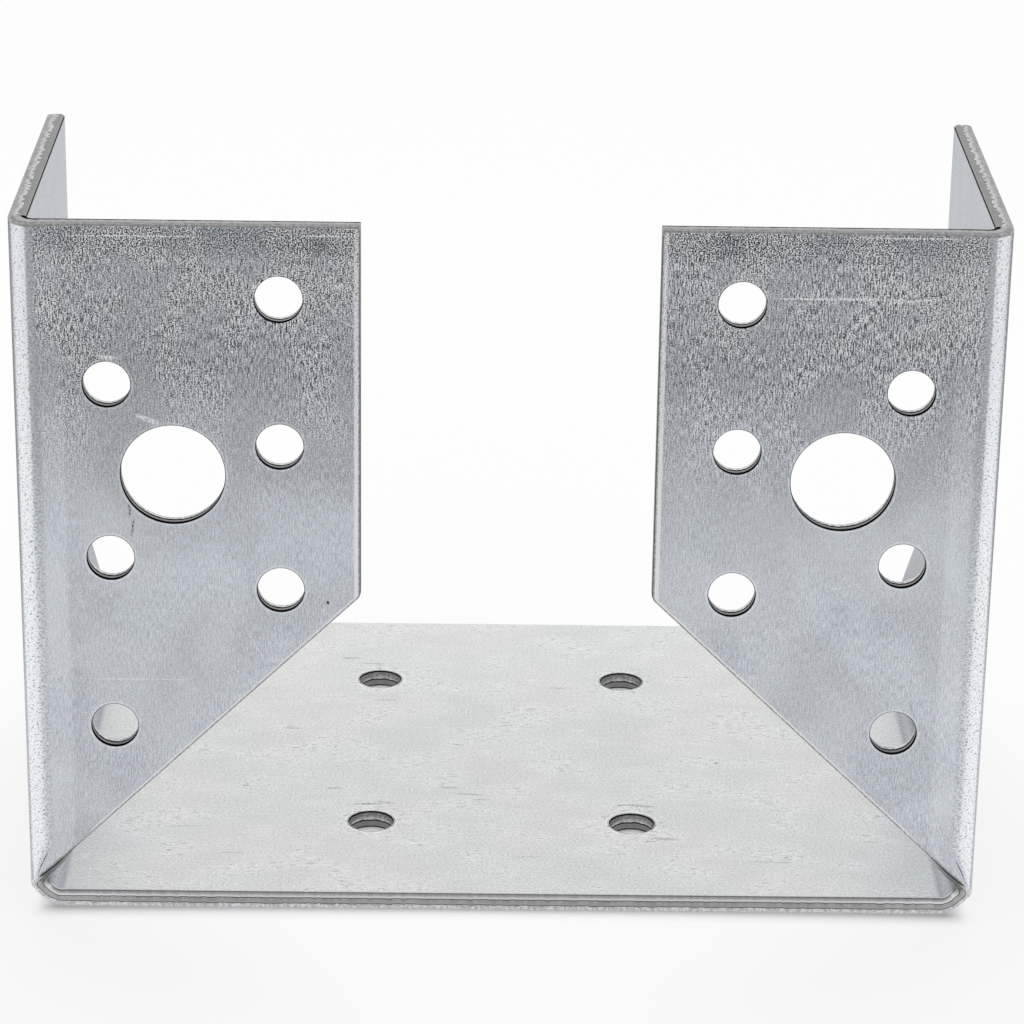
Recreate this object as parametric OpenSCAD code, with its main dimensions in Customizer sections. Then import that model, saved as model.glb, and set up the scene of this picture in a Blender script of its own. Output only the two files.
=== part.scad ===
// Beam hanger folded from one steel sheet: a seat, two side walls, and a nailing flange
// turned inward from the front edge of each wall.
// The origin is under the middle of the part. +X runs across the beam, +Z is up,
// and the flanges that lie against the supporting beam face -Y.

/* [Seat] */
// Clear width between the walls, which is the width of the beam
seat_width = 100; // [80:1:200]
// Depth of the seat along the beam
seat_depth = 76; // [60:1:140]

/* [Sheet] */
// Thickness of the sheet
sheet_t = 2; // [1.5:0.1:3]
// Inner radius of the fold between the seat and a wall
seat_fold_r = 1.5; // [0.5:0.1:4]
// Inner radius of the fold between a wall and its flange
flange_fold_r = 1; // [0.5:0.1:4]

/* [Walls] */
// Height of the walls over the underside of the seat
wall_height = 80; // [76:1:240]
// Depth of a wall at its top, from the face of the flange to the upright rear edge
wall_top_depth = 41; // [36:0.5:60]
// Height over the underside at which the upright rear edge turns into the rear slope
wall_slope_height = 35; // [20:0.5:60]

/* [Flanges] */
// Width of a flange from the outer face of its wall to its inner edge
flange_width = 36.5; // [33:0.5:39]
// Angle of the sloping lower edge over the horizontal
flange_slope = 44; // [30:1:48]
// Radius of the corner between the inner edge and the sloping lower edge
flange_corner_r = 1; // [0.3:0.1:4]

/* [Flange nail holes] */
// Diameter of the nail holes, in the flanges and in the walls
nail_d = 5; // [3:0.1:6]
// Number of nail holes in each column
nail_rows = 3; // [1:1:3]
// Distance of the inner column from the inner edge of the flange
inner_column_edge = 8.5; // [6:0.5:10]
// Depth of the first hole of the inner column under the top edge
inner_column_top = 8; // [6:0.25:10]
// Spacing of the holes in the inner column
inner_column_pitch = 16.25; // [12:0.25:17]
// Distance of the outer column from the outer face of the wall
outer_column_edge = 10; // [8:0.25:11]
// Depth of the first hole of the outer column under the top edge
outer_column_top = 17.5; // [12:0.25:18]
// Spacing of the holes in the outer column
outer_column_pitch = 19.5; // [18:0.25:20]

/* [Flange bolt holes] */
// Diameter of the bolt hole in each flange
bolt_d = 11; // [6:0.5:12]
// Distance of the bolt hole from the outer face of the wall
bolt_edge = 16.75; // [15:0.25:19]
// Depth of the bolt hole under the top edge
bolt_top = 27.5; // [26:0.25:28.5]

/* [Seat holes] */
// Diameter of the holes in the seat
seat_hole_d = 5; // [3:0.5:8]
// Spacing of the seat holes across the beam
seat_hole_span = 30; // [15:1:60]
// Spacing of the seat holes along the beam
seat_hole_pitch = 40; // [15:1:44]

/* [Wall nail holes] */
// Distance of the front pair from the face of the flange
front_pair_depth = 15; // [8:0.5:18]
// Height of the lower hole of the front pair over the underside
front_pair_height = 26; // [12:0.5:30]
// Distance of the rear pair from the face of the flange
rear_pair_depth = 29; // [24:0.5:32]
// Height of the lower hole of the rear pair over the underside
rear_pair_height = 38; // [20:0.5:42]
// Spacing of the two holes of each pair
wall_pair_pitch = 24; // [12:0.5:28]

/* [Hidden] */

// Fineness of the round faces
$fn = 96;

// Outer radii of the two folds
seat_fold_outer = seat_fold_r + sheet_t;
flange_fold_outer = flange_fold_r + sheet_t;

// The part from side to side
half_width = seat_width / 2 + sheet_t;

// The seat starts where the flange fold ends, and the part reaches to the rear of the seat
seat_front = flange_fold_outer;
seat_rear = seat_front + seat_depth;
seat_middle = seat_front + seat_depth / 2;

// Inner edge of the flange, as a distance from the middle of the part
flange_edge_x = half_width - flange_width;

// The sloping lower edge runs up from the corner where the two folds meet
slope_rise = flange_width * tan(flange_slope);
flange_corner_z = seat_fold_outer + slope_rise;

// Distance from the sharp corner to where its rounding starts, and to the rounding's centre
corner_turn = 90 - flange_slope;
corner_tangent = flange_corner_r * tan(corner_turn / 2);
corner_centre_x = flange_edge_x + flange_corner_r;
corner_centre_z = flange_corner_z + corner_tangent;

// Columns of nail holes and bolt hole, as distances from the middle of the part
inner_column_x = flange_edge_x + inner_column_edge;
outer_column_x = half_width - outer_column_edge;
bolt_x = half_width - bolt_edge;

// Length by which cutting tools run past the faces that they cut
past = 5;

// Quarter of a round fold about a line along Z, from the +X side to the +Y side of its centre
module quarter_fold(inner_r, length) {
    rotate_extrude(angle = 90)
        translate([inner_r, 0])
            square([sheet_t, length]);
}

// The flat seat between the two seat folds
module seat_plate() {
    flat_half = half_width - seat_fold_outer;
    translate([-flat_half, seat_front, 0])
        cube([2 * flat_half, seat_depth, sheet_t]);
}

// The round fold that leads from the seat up into the right wall
module seat_fold() {
    translate([half_width - seat_fold_outer, seat_rear, seat_fold_outer])
        rotate([90, 0, 0])
            rotate([0, 0, -90])
                quarter_fold(seat_fold_r, seat_depth);
}

// Side view of a wall over its fold: upright front edge, then the stepped and sloping rear edge
module wall_outline() {
    polygon([
        [seat_front, seat_fold_outer],
        [seat_rear, seat_fold_outer],
        [wall_top_depth, wall_slope_height],
        [wall_top_depth, wall_height],
        [seat_front, wall_height]
    ]);
}

// The right wall
module wall_plate() {
    translate([half_width - sheet_t, 0, 0])
        rotate([90, 0, 90])
            linear_extrude(sheet_t)
                wall_outline();
}

// Front view of the right flange with its fold: a straight inner edge and a sloping lower edge
// that meet in a rounded corner
module flange_outline() {
    tangent_x = flange_edge_x + corner_tangent * cos(flange_slope);
    tangent_z = flange_corner_z - corner_tangent * sin(flange_slope);
    polygon([
        [half_width, seat_fold_outer],
        [half_width, wall_height],
        [flange_edge_x, wall_height],
        [flange_edge_x, corner_centre_z],
        [tangent_x, tangent_z]
    ]);
    translate([corner_centre_x, corner_centre_z])
        circle(flange_corner_r);
}

// The right flange, flat and round part together, before the holes
module flange_plate() {
    flat_x = half_width - flange_fold_outer;
    intersection() {
        union() {
            translate([flange_edge_x, 0, 0])
                cube([flat_x - flange_edge_x, sheet_t, wall_height]);
            translate([flat_x, flange_fold_outer, 0])
                rotate([0, 0, -90])
                    quarter_fold(flange_fold_r, wall_height);
        }
        translate([0, flange_fold_outer, 0])
            rotate([90, 0, 0])
                linear_extrude(flange_fold_outer + past)
                    flange_outline();
    }
}

// Round cutter through a flange
module flange_hole(x, depth_under_top, d) {
    translate([x, sheet_t + past, wall_height - depth_under_top])
        rotate([90, 0, 0])
            cylinder(d = d, h = sheet_t + 2 * past);
}

// Round cutter through a wall
module wall_hole(y, z) {
    translate([half_width - sheet_t - past, y, z])
        rotate([0, 90, 0])
            cylinder(d = nail_d, h = sheet_t + 2 * past);
}

// Holes of the right flange: two columns for nails and one hole for a bolt
module flange_holes() {
    for (row = [0 : nail_rows - 1]) {
        flange_hole(inner_column_x, inner_column_top + row * inner_column_pitch, nail_d);
        flange_hole(outer_column_x, outer_column_top + row * outer_column_pitch, nail_d);
    }
    flange_hole(bolt_x, bolt_top, bolt_d);
}

// Holes of the right wall: a front and a rear pair for the nails into the beam
module wall_holes() {
    for (step = [0, 1]) {
        wall_hole(front_pair_depth, front_pair_height + step * wall_pair_pitch);
        wall_hole(rear_pair_depth, rear_pair_height + step * wall_pair_pitch);
    }
}

// Four holes round the middle of the seat
module seat_holes() {
    for (x = [-1, 1], y = [-1, 1])
        translate([x * seat_hole_span / 2, seat_middle + y * seat_hole_pitch / 2, -past])
            cylinder(d = seat_hole_d, h = sheet_t + 2 * past);
}

// Right half of the bent-up sheet, which the left half mirrors
module right_side() {
    difference() {
        union() {
            seat_fold();
            wall_plate();
            flange_plate();
        }
        flange_holes();
        wall_holes();
    }
}

// The whole hanger, folded from one sheet
module hanger() {
    color([0.70, 0.72, 0.74])
        translate([0, -seat_rear / 2, 0])
            union() {
                difference() {
                    seat_plate();
                    seat_holes();
                }
                right_side();
                mirror([1, 0, 0])
                    right_side();
            }
}

hanger();
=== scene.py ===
from math import cos, dist, hypot, pi, radians, sin, tan

import bmesh
import bpy
from mathutils import Matrix, Vector
from mathutils.geometry import delaunay_2d_cdt


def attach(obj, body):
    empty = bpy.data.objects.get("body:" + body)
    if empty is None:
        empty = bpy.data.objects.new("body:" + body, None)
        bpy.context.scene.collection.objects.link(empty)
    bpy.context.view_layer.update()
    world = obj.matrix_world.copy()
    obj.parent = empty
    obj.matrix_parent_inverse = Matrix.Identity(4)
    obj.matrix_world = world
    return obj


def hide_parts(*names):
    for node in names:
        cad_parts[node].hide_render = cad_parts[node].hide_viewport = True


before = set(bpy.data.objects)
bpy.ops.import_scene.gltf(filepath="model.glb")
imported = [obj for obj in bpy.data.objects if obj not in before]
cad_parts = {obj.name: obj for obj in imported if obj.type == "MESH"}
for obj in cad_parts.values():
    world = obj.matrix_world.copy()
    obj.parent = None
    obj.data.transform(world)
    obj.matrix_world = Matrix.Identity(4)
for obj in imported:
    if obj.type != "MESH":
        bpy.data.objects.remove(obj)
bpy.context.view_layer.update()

MM = 0.001

# Driving sizes in millimetres, as in the part's source
SEAT_WIDTH = 100.0
SEAT_DEPTH = 76.0
SHEET_T = 2.0
SEAT_FOLD_R = 1.5
FLANGE_FOLD_R = 1.0
WALL_HEIGHT = 80.0
WALL_TOP_DEPTH = 41.0
WALL_SLOPE_HEIGHT = 35.0
FLANGE_WIDTH = 36.5
FLANGE_SLOPE = radians(44.0)
FLANGE_CORNER_R = 1.0
NAIL_D = 5.0
NAIL_ROWS = 3
INNER_COLUMN = {"edge": 8.5, "top": 8.0, "pitch": 16.25}
OUTER_COLUMN = {"edge": 10.0, "top": 17.5, "pitch": 19.5}
BOLT_D = 11.0
BOLT_EDGE = 16.75
BOLT_TOP = 27.5
SEAT_HOLE_D = 5.0
SEAT_HOLE_SPAN = 30.0
SEAT_HOLE_PITCH = 40.0
WALL_PAIRS = ((15.0, 26.0), (29.0, 38.0))
WALL_PAIR_PITCH = 24.0

# Sizes worked out from them
HALF_WIDTH = SEAT_WIDTH / 2 + SHEET_T
SEAT_FOLD_OUTER = SEAT_FOLD_R + SHEET_T
FLANGE_FOLD_OUTER = FLANGE_FOLD_R + SHEET_T
SEAT_FRONT = FLANGE_FOLD_OUTER
SEAT_REAR = SEAT_FRONT + SEAT_DEPTH
SEAT_MIDDLE = SEAT_FRONT + SEAT_DEPTH / 2
FLANGE_EDGE_X = HALF_WIDTH - FLANGE_WIDTH
# Rise over run of the flange's lower edge
SLOPE = tan(FLANGE_SLOPE)

# The blank is laid out flat: s runs across the seat and on up the walls, v runs back along the
# beam, and below the seat's front edge it runs on round the fold into the flange
SEAT_ARC = (SEAT_FOLD_R + SHEET_T / 2) * pi / 2
FLANGE_ARC = (FLANGE_FOLD_R + SHEET_T / 2) * pi / 2
S_SEAT = HALF_WIDTH - SEAT_FOLD_OUTER
S_WALL = S_SEAT + SEAT_ARC
S_TOP = S_WALL + WALL_HEIGHT - SEAT_FOLD_OUTER
V_FLANGE = SEAT_FRONT - FLANGE_ARC
FLAT_X = HALF_WIDTH - FLANGE_FOLD_OUTER
V_INNER = V_FLANGE - (FLAT_X - FLANGE_EDGE_X)

# Fineness of the mesh
SEAT_FOLD_STEPS = 18
FLANGE_FOLD_STEPS = 16
NAIL_STEPS = 64
BOLT_STEPS = 96
EDGE_STEP = 4.0
CORNER_SUPPORT = 0.45
TAIL_STEP = 0.4
TAIL_LENGTH = 9.0
TAIL_STOPS = range(1, int(TAIL_LENGTH / TAIL_STEP))
RING_GAPS = (0.5, 1.2, 2.4)
FLANGE_CORNER_STEPS = 8
ROLL_STEPS = 6
OUTER_ROUND_STEPS = 5
HOLE_ROUND_STEPS = 2
HOLE_ROLL_STEPS = 4
SAME_POINT = 1e-5
# Least cosine in the reach of a mitre
MITRE_LIMIT = 0.3

# Kinds of face, as the material reads them
PLAIN_FACE = 0.0
BLANK_EDGE = 1.0
HOLE_EDGE = 2.0

# Sheared edges, as (distance into the sheet from the nominal edge, depth from the inner face).
# The blank was sheared from the inner side: rounded in, burnished, then broken off outside.
BLANK_ROLL = (0.34, 0.55)
BLANK_BREAK = 1.30
BLANK_TAPER = 0.05
BLANK_OUTER_ROUND = 0.24
# The holes were punched from the outer side
HOLE_ROLL = 0.07
HOLE_BREAK = 1.15
HOLE_TAPER = 0.06
HOLE_INNER_ROUND = 0.08

# The front fold is pinched tighter towards the flange's lower edge
PINCH = 1.8
PINCH_HEIGHT = 5.0
PINCH_REACH = 3.4

# The sheet runs on round the corner under the tail: its edge leaves the seat's front edge half
# way up the seat's fold and meets the flange's lower edge where the front fold ends
CORNER_DROP = 0.85
CORNER_START = 0.5
CORNER_END = 0.15
CORNER_CURVE = 0.6
CORNER_STEPS = 20
# Least share of the way between its plain points and those on the fold's lines
CORNER_SPACING = 0.4 / CORNER_STEPS

# How much higher a place one millimetre further back looks from the viewpoint
VIEW_RISE = 0.456

# Where a fold ends at an edge, the outer face is drawn in and the inner face bulges out
FOLD_DRAW = 0.22
FOLD_BULGE = 0.12
FADE = 3.5
# Distances over which that eases in across the folds
EASE_BEFORE = 0.6
EASE_PAST = 1.0
EASE_WALL = 1.4
EASE_TOP = 1.2

# Masks of the material along the front fold, as (from, to)
CORNER_TOP = S_WALL + 2.2
CORNER_MASK = (-0.1, 0.2)
FLANGE_MASK = (0.05, 0.6)
TAIL_MASK = (V_FLANGE - 2.2, V_FLANGE - 1.2)
NARROW_MASK = (0.2, 4.0)


def smooth_step(value, low, high):
    """0 below low, 1 above high, smooth between."""
    t = min(max((value - low) / (high - low), 0.0), 1.0)
    return t * t * (3 - 2 * t)


def wall_point(y, z):
    """Flat place of a point of the right wall."""
    return (S_WALL + z - SEAT_FOLD_OUTER, y)


def flange_point(x, z):
    """Flat place of a point of the right flange's flat part."""
    return (S_WALL + z - SEAT_FOLD_OUTER, V_FLANGE - (FLAT_X - x))


def edge_pinch(v):
    """How much tighter the front fold is along the flange's lower edge."""
    return PINCH * (1 - smooth_step(V_FLANGE - v, 0.0, PINCH_REACH))


def tail_edge(v):
    """Flat height of the flange's lower edge: along the slope, and on across the fold, where it
    looks straight from the viewpoint."""
    turn = min((SEAT_FRONT - v) / FLANGE_ARC, 1.0) * pi / 2
    past = max(V_FLANGE - v, 0.0)
    from_side = (FLANGE_FOLD_OUTER - edge_pinch(v)) * (1 - cos(turn)) + past
    height = from_side * SLOPE
    if from_side < FLANGE_FOLD_OUTER:
        tip = VIEW_RISE * FLANGE_FOLD_OUTER - CORNER_DROP
        fold_start = FLANGE_FOLD_OUTER * SLOPE
        height = tip + (fold_start - tip) * from_side / FLANGE_FOLD_OUTER
    return S_WALL + height - VIEW_RISE * FLANGE_FOLD_OUTER * (1 - sin(turn))


def corner_edge():
    """Flat points of the edge round the corner, from the seat's front edge to the tail's, and
    which of them lie on the lines of the front fold."""
    v_end = V_FLANGE + CORNER_END
    s_start = S_SEAT + SEAT_ARC * CORNER_START
    reach = SEAT_FRONT - v_end
    on_lines = {}
    for k in range(1, FLANGE_FOLD_STEPS):
        share = FLANGE_ARC * k / FLANGE_FOLD_STEPS / reach
        if share < 1:
            on_lines[share ** CORNER_CURVE] = k
    plain = [i / CORNER_STEPS for i in range(1, CORNER_STEPS)]
    plain = [p for p in plain if all(abs(p - t) > CORNER_SPACING for t in on_lines)]
    rise = tail_edge(v_end) - s_start
    return [((s_start + rise * t, SEAT_FRONT - reach * t ** (1 / CORNER_CURVE)), on_lines.get(t))
            for t in sorted(plain + list(on_lines))]


def fold_ends(s, v, depth):
    """A flat point shifted as the sheet gives way where a fold ends at an edge."""
    out = depth / SHEET_T
    if s > S_WALL and v < SEAT_FRONT:
        near = smooth_step(SEAT_FRONT - v, 0.0, EASE_WALL)
        near *= 1 - smooth_step(V_FLANGE - v, -EASE_BEFORE, EASE_PAST)
        s -= near * (1 - smooth_step(S_TOP - s, 0.0, FADE)) * FOLD_DRAW * out
    elif S_SEAT - EASE_PAST < s < S_WALL:
        near = smooth_step(s - S_SEAT, -EASE_BEFORE, EASE_PAST)
        near *= 1 - smooth_step(s - S_WALL, -EASE_TOP, 0.0)
        front = near * smooth_step(v, SEAT_FRONT - EASE_PAST, SEAT_FRONT)
        front *= 1 - smooth_step(v - SEAT_FRONT, 0.0, FADE)
        rear = near * (1 - smooth_step(SEAT_REAR - v, 0.0, FADE))
        v += front * (FOLD_DRAW * out - FOLD_BULGE * (1 - out)) - rear * FOLD_DRAW * out
    return s, v


def place(s, v, depth):
    """Place in millimetres of a flat point, at a depth under the inner face of the sheet."""
    side = -1.0 if s < 0 else 1.0
    s, v = fold_ends(abs(s), v, depth)
    if s <= S_SEAT:
        x, z = s, SHEET_T - depth
    elif s <= S_WALL:
        turn = (s - S_SEAT) / SEAT_ARC * pi / 2
        radius = SEAT_FOLD_R + depth
        x = S_SEAT + radius * sin(turn)
        z = SEAT_FOLD_OUTER - radius * cos(turn)
    else:
        x, z = HALF_WIDTH - SHEET_T + depth, SEAT_FOLD_OUTER + s - S_WALL
    y = v
    if v < SEAT_FRONT and s > S_SEAT:
        turn = min((SEAT_FRONT - v) / FLANGE_ARC, 1.0) * pi / 2
        past = max(V_FLANGE - v, 0.0)
        pinch = edge_pinch(v) * depth / SHEET_T
        pinch *= 1 - smooth_step(s - tail_edge(v), 0.0, PINCH_HEIGHT)
        radius = FLANGE_FOLD_R + depth
        x -= (radius - pinch) * (1 - cos(turn)) + past
        y = SEAT_FRONT - radius * sin(turn)
    return Vector((side * x, y - SEAT_REAR / 2, z))


def directions(s, v, depth):
    """Unit vectors along s and v, and the normal that points to the inner side of the sheet."""
    step = 0.01
    along_s = (place(s + step, v, depth) - place(s - step, v, depth)).normalized()
    along_v = (place(s, v + step, depth) - place(s, v - step, depth)).normalized()
    return along_s, along_v, along_s.cross(along_v).normalized()


def round_hole(centre, diameter, steps):
    """A hole in the flat blank, as a closed loop of points."""
    turns = [2 * pi * i / steps for i in range(steps)]
    return [(centre[0] + diameter / 2 * cos(t), centre[1] + diameter / 2 * sin(t)) for t in turns]


def hole_list():
    """Every hole of the blank as (centre, diameter, steps)."""
    right = []
    inner = (FLANGE_EDGE_X + INNER_COLUMN["edge"], INNER_COLUMN)
    outer = (HALF_WIDTH - OUTER_COLUMN["edge"], OUTER_COLUMN)
    for row in range(NAIL_ROWS):
        for x, column in (inner, outer):
            z = WALL_HEIGHT - column["top"] - row * column["pitch"]
            right.append((flange_point(x, z), NAIL_D, NAIL_STEPS))
    bolt = flange_point(HALF_WIDTH - BOLT_EDGE, WALL_HEIGHT - BOLT_TOP)
    right.append((bolt, BOLT_D, BOLT_STEPS))
    for y, z in WALL_PAIRS:
        for step in (0, 1):
            right.append((wall_point(y, z + step * WALL_PAIR_PITCH), NAIL_D, NAIL_STEPS))
    for y in (-1, 1):
        middle = (SEAT_HOLE_SPAN / 2, SEAT_MIDDLE + y * SEAT_HOLE_PITCH / 2)
        right.append((middle, SEAT_HOLE_D, NAIL_STEPS))
    left = [((-c[0], c[1]), d, n) for c, d, n in right]
    return right + left


def straight(start, end, first_gap=0.0, last_gap=0.0):
    """Points from start to end, end left out, with a point near each sharp end."""
    length = dist(start, end)
    stops = [0.0]
    if first_gap:
        stops.append(first_gap)
    low = stops[-1]
    high = length - last_gap
    count = max(1, round((high - low) / EDGE_STEP))
    stops += [low + (high - low) * i / count for i in range(1, count)]
    if last_gap:
        stops.append(high)
    return [(start[0] + (end[0] - start[0]) * q / length,
             start[1] + (end[1] - start[1]) * q / length) for q in stops]


def seat_front_points(points, marks):
    """From the middle of the seat's front edge, round the corner, to the flange's lower edge."""
    points += straight((0.0, SEAT_FRONT), (S_SEAT, SEAT_FRONT))
    for k in range(round(SEAT_FOLD_STEPS * CORNER_START) + 1):
        marks["front"][k] = len(points)
        points.append((S_SEAT + SEAT_ARC * k / SEAT_FOLD_STEPS, SEAT_FRONT))
    for point, line in corner_edge():
        if line:
            marks["tail"][line] = len(points)
        points.append(point)
    v_end = V_FLANGE + CORNER_END
    points.append((tail_edge(v_end), v_end))
    marks["tail"][FLANGE_FOLD_STEPS] = len(points)
    points.append((tail_edge(V_FLANGE), V_FLANGE))


def flange_points(points):
    """Up the flange's lower edge, round its corner, up its inner edge and along its top."""
    corner_z = SEAT_FOLD_OUTER + FLANGE_WIDTH * SLOPE
    tangent = FLANGE_CORNER_R * tan((pi / 2 - FLANGE_SLOPE) / 2)
    turn_from = (FLANGE_EDGE_X + tangent * cos(FLANGE_SLOPE),
                 corner_z - tangent * sin(FLANGE_SLOPE))
    tail_x = FLAT_X - TAIL_LENGTH
    tail_z = SEAT_FOLD_OUTER + (HALF_WIDTH - tail_x) * SLOPE
    count = round(TAIL_LENGTH / TAIL_STEP)
    for i in range(1, count):
        v = V_FLANGE - TAIL_LENGTH * i / count
        points.append((tail_edge(v), v))
    points += straight(flange_point(tail_x, tail_z), flange_point(*turn_from))
    centre = (FLANGE_EDGE_X + FLANGE_CORNER_R, corner_z + tangent)
    for i in range(FLANGE_CORNER_STEPS):
        turned = (pi / 2 - FLANGE_SLOPE) * i / FLANGE_CORNER_STEPS
        angle = -(pi / 2 + FLANGE_SLOPE) - turned
        points.append(flange_point(centre[0] + FLANGE_CORNER_R * cos(angle),
                                   centre[1] + FLANGE_CORNER_R * sin(angle)))
    top_inner = flange_point(FLANGE_EDGE_X, WALL_HEIGHT)
    points += straight(flange_point(FLANGE_EDGE_X, centre[1]), top_inner, 0, CORNER_SUPPORT)
    points += straight(top_inner, (S_TOP, V_FLANGE), CORNER_SUPPORT)


def wall_points(points, marks):
    """Over the top of the fold and the wall, down its rear edge, and in along the seat's rear."""
    for k in range(FLANGE_FOLD_STEPS, -1, -1):
        marks["top"][k] = len(points)
        points.append((S_TOP, SEAT_FRONT - FLANGE_ARC * k / FLANGE_FOLD_STEPS))
    points.append((S_TOP, SEAT_FRONT + EDGE_STEP))
    wall_top = (S_TOP, WALL_TOP_DEPTH)
    wall_turn = wall_point(WALL_TOP_DEPTH, WALL_SLOPE_HEIGHT)
    points += straight((S_TOP, SEAT_FRONT + 2 * EDGE_STEP), wall_top, 0, CORNER_SUPPORT)
    points += straight(wall_top, wall_turn, CORNER_SUPPORT, CORNER_SUPPORT)
    points += straight(wall_turn, (S_WALL, SEAT_REAR), CORNER_SUPPORT, CORNER_SUPPORT)
    for k in range(SEAT_FOLD_STEPS, -1, -1):
        marks["rear"][k] = len(points)
        points.append((S_SEAT + SEAT_ARC * k / SEAT_FOLD_STEPS, SEAT_REAR))
    points += straight((S_SEAT, SEAT_REAR), (0.0, SEAT_REAR))[1:]
    points.append((0.0, SEAT_REAR))


def right_outline():
    """Right half of the blank's edge, from the middle of the seat's front to that of its rear,
    with the marks by which the fold lines find their ends."""
    points = []
    marks = {"front": {}, "tail": {}, "top": {}, "rear": {}}
    seat_front_points(points, marks)
    flange_points(points)
    wall_points(points, marks)
    return points, marks


def whole_outline():
    """The blank's whole edge as a closed loop, and the indices of the fold lines' ends by side."""
    right, marks = right_outline()
    left = [(-s, v) for s, v in right[-2:0:-1]]
    last = len(right) + len(left)
    ends = {1: marks, -1: {}}
    for name, found in marks.items():
        ends[-1][name] = {k: (last - i) % last for k, i in found.items()}
    return right + left, ends


def outward(points):
    """Per point of a loop, the unit direction out of the sheet and the reach of its mitre."""
    area = sum(a[0] * b[1] - b[0] * a[1] for a, b in zip(points, points[1:] + points[:1]))
    turn = 1.0 if area > 0 else -1.0
    found = []
    for i, here in enumerate(points):
        before, after = points[i - 1], points[(i + 1) % len(points)]
        normals = []
        for a, b in ((before, here), (here, after)):
            length = dist(a, b)
            normals.append(Vector(((b[1] - a[1]) / length, (a[0] - b[0]) / length)) * turn)
        middle = (normals[0] + normals[1]).normalized()
        found.append((middle, 1 / max(middle.dot(normals[0]), MITRE_LIMIT)))
    return found


def quarter(start, end, corner_first, steps):
    """Points of a quarter ellipse between two places of an edge profile, the ends included.
    corner_first tells which end touches the corner's first side."""
    points = []
    for i in range(steps + 1):
        t = pi / 2 * i / steps
        shares = (sin(t), 1 - cos(t))
        if not corner_first:
            shares = (shares[1], shares[0])
        points.append(tuple(a + (b - a) * share for a, b, share in zip(start, end, shares)))
    return points


def blank_profile():
    """Edge of the blank from the inner face to the outer face."""
    roll, roll_depth = BLANK_ROLL
    outer = SHEET_T - BLANK_OUTER_ROUND
    points = quarter((roll, 0.0), (0.0, roll_depth), True, ROLL_STEPS)
    points += [(0.0, BLANK_BREAK)]
    points += quarter((BLANK_TAPER, outer), (BLANK_TAPER + BLANK_OUTER_ROUND, SHEET_T), False,
                      OUTER_ROUND_STEPS)
    return points


def hole_profile():
    """Edge of a hole from the inner face to the outer face."""
    points = quarter((HOLE_TAPER + HOLE_INNER_ROUND, 0.0), (HOLE_TAPER, HOLE_INNER_ROUND), True,
                     HOLE_ROUND_STEPS)
    points += [(0.0, HOLE_BREAK)]
    points += quarter((0.0, SHEET_T - HOLE_ROLL), (HOLE_ROLL, SHEET_T), False, HOLE_ROLL_STEPS)
    return points


def profile_normals(profile):
    """Per point of a profile, how far its normal points out of the edge and to the inner side."""
    slopes = []
    for a, b in zip(profile, profile[1:]):
        length = dist(a, b)
        slopes.append(((b[1] - a[1]) / length, (a[0] - b[0]) / length))
    found = [(0.0, 1.0)]
    for a, b in zip(slopes, slopes[1:]):
        length = hypot(a[0] + b[0], a[1] + b[1])
        found.append(((a[0] + b[0]) / length, (a[1] + b[1]) / length))
    found.append((0.0, -1.0))
    return found


def profile_shares(profile):
    """Per point of a profile, its share of the way across, with the last round spread evenly."""
    shares = [depth / SHEET_T for _, depth in profile]
    if profile == blank_profile():
        first = len(profile) - OUTER_ROUND_STEPS - 1
        for i in range(first, len(profile)):
            shares[i] = shares[first] + (1 - shares[first]) * (i - first) / OUTER_ROUND_STEPS
    return shares


def inside(point, loop):
    """Whether a flat point lies inside a closed loop."""
    x, y = point
    found = False
    for (ax, ay), (bx, by) in zip(loop, loop[1:] + loop[:1]):
        if (ay > y) != (by > y) and x < ax + (bx - ax) * (y - ay) / (by - ay):
            found = not found
    return found


class Sheet:
    """Collects the vertices and faces of the folded sheet, with what its material reads."""

    def __init__(self):
        self.places, self.normals, self.across, self.flats = [], [], [], []
        self.faces, self.corner_maps, self.face_edge = [], [], []

    def add(self, s, v, depth, normal, across):
        self.places.append(place(s, v, depth) * MM)
        self.normals.append(normal)
        self.across.append(across)
        self.flats.append((s, v))
        return len(self.places) - 1

    def face(self, corners, uvs, edge):
        self.faces.append(corners)
        self.corner_maps += uvs
        self.face_edge.append(edge)


def edge_strip(sheet, loop, profile, kind):
    """Builds the sheared edge along a loop, the blank's outline or a punched hole. Returns the
    vertices of its inner and of its outer face, and the flat points of both."""
    into_sheet = -1 if kind == BLANK_EDGE else 1
    outs = outward(loop)
    normals = profile_normals(profile)
    rings, flats = [], []
    for (o, depth), (side, up), share in zip(profile, normals, profile_shares(profile)):
        ring, flat = [], []
        for (s, v), (out, reach) in zip(loop, outs):
            fs = s + into_sheet * out.x * reach * o
            fv = v + into_sheet * out.y * reach * o
            along_s, along_v, inner = directions(fs, fv, depth)
            away = (along_s * out.x + along_v * out.y) * -into_sheet
            normal = (away * side + inner * up).normalized()
            across = share if kind == BLANK_EDGE else 1 - share
            ring.append(sheet.add(fs, fv, depth, normal, across))
            flat.append((fs, fv))
        rings.append(ring)
        flats.append(flat)
    lengths = [0.0]
    for a, b in zip(loop, loop[1:] + loop[:1]):
        lengths.append(lengths[-1] + dist(a, b))
    count = len(loop)
    for j in range(len(rings) - 1):
        low, high = profile[j][1], profile[j + 1][1]
        for i in range(count):
            k = (i + 1) % count
            corners = (rings[j][i], rings[j][k], rings[j + 1][k], rings[j + 1][i])
            a, b = lengths[i], lengths[i + 1]
            sheet.face(corners, ((a, low), (b, low), (b, high), (a, high)), kind)
    return rings[0], rings[-1], flats[0], flats[-1]


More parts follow.
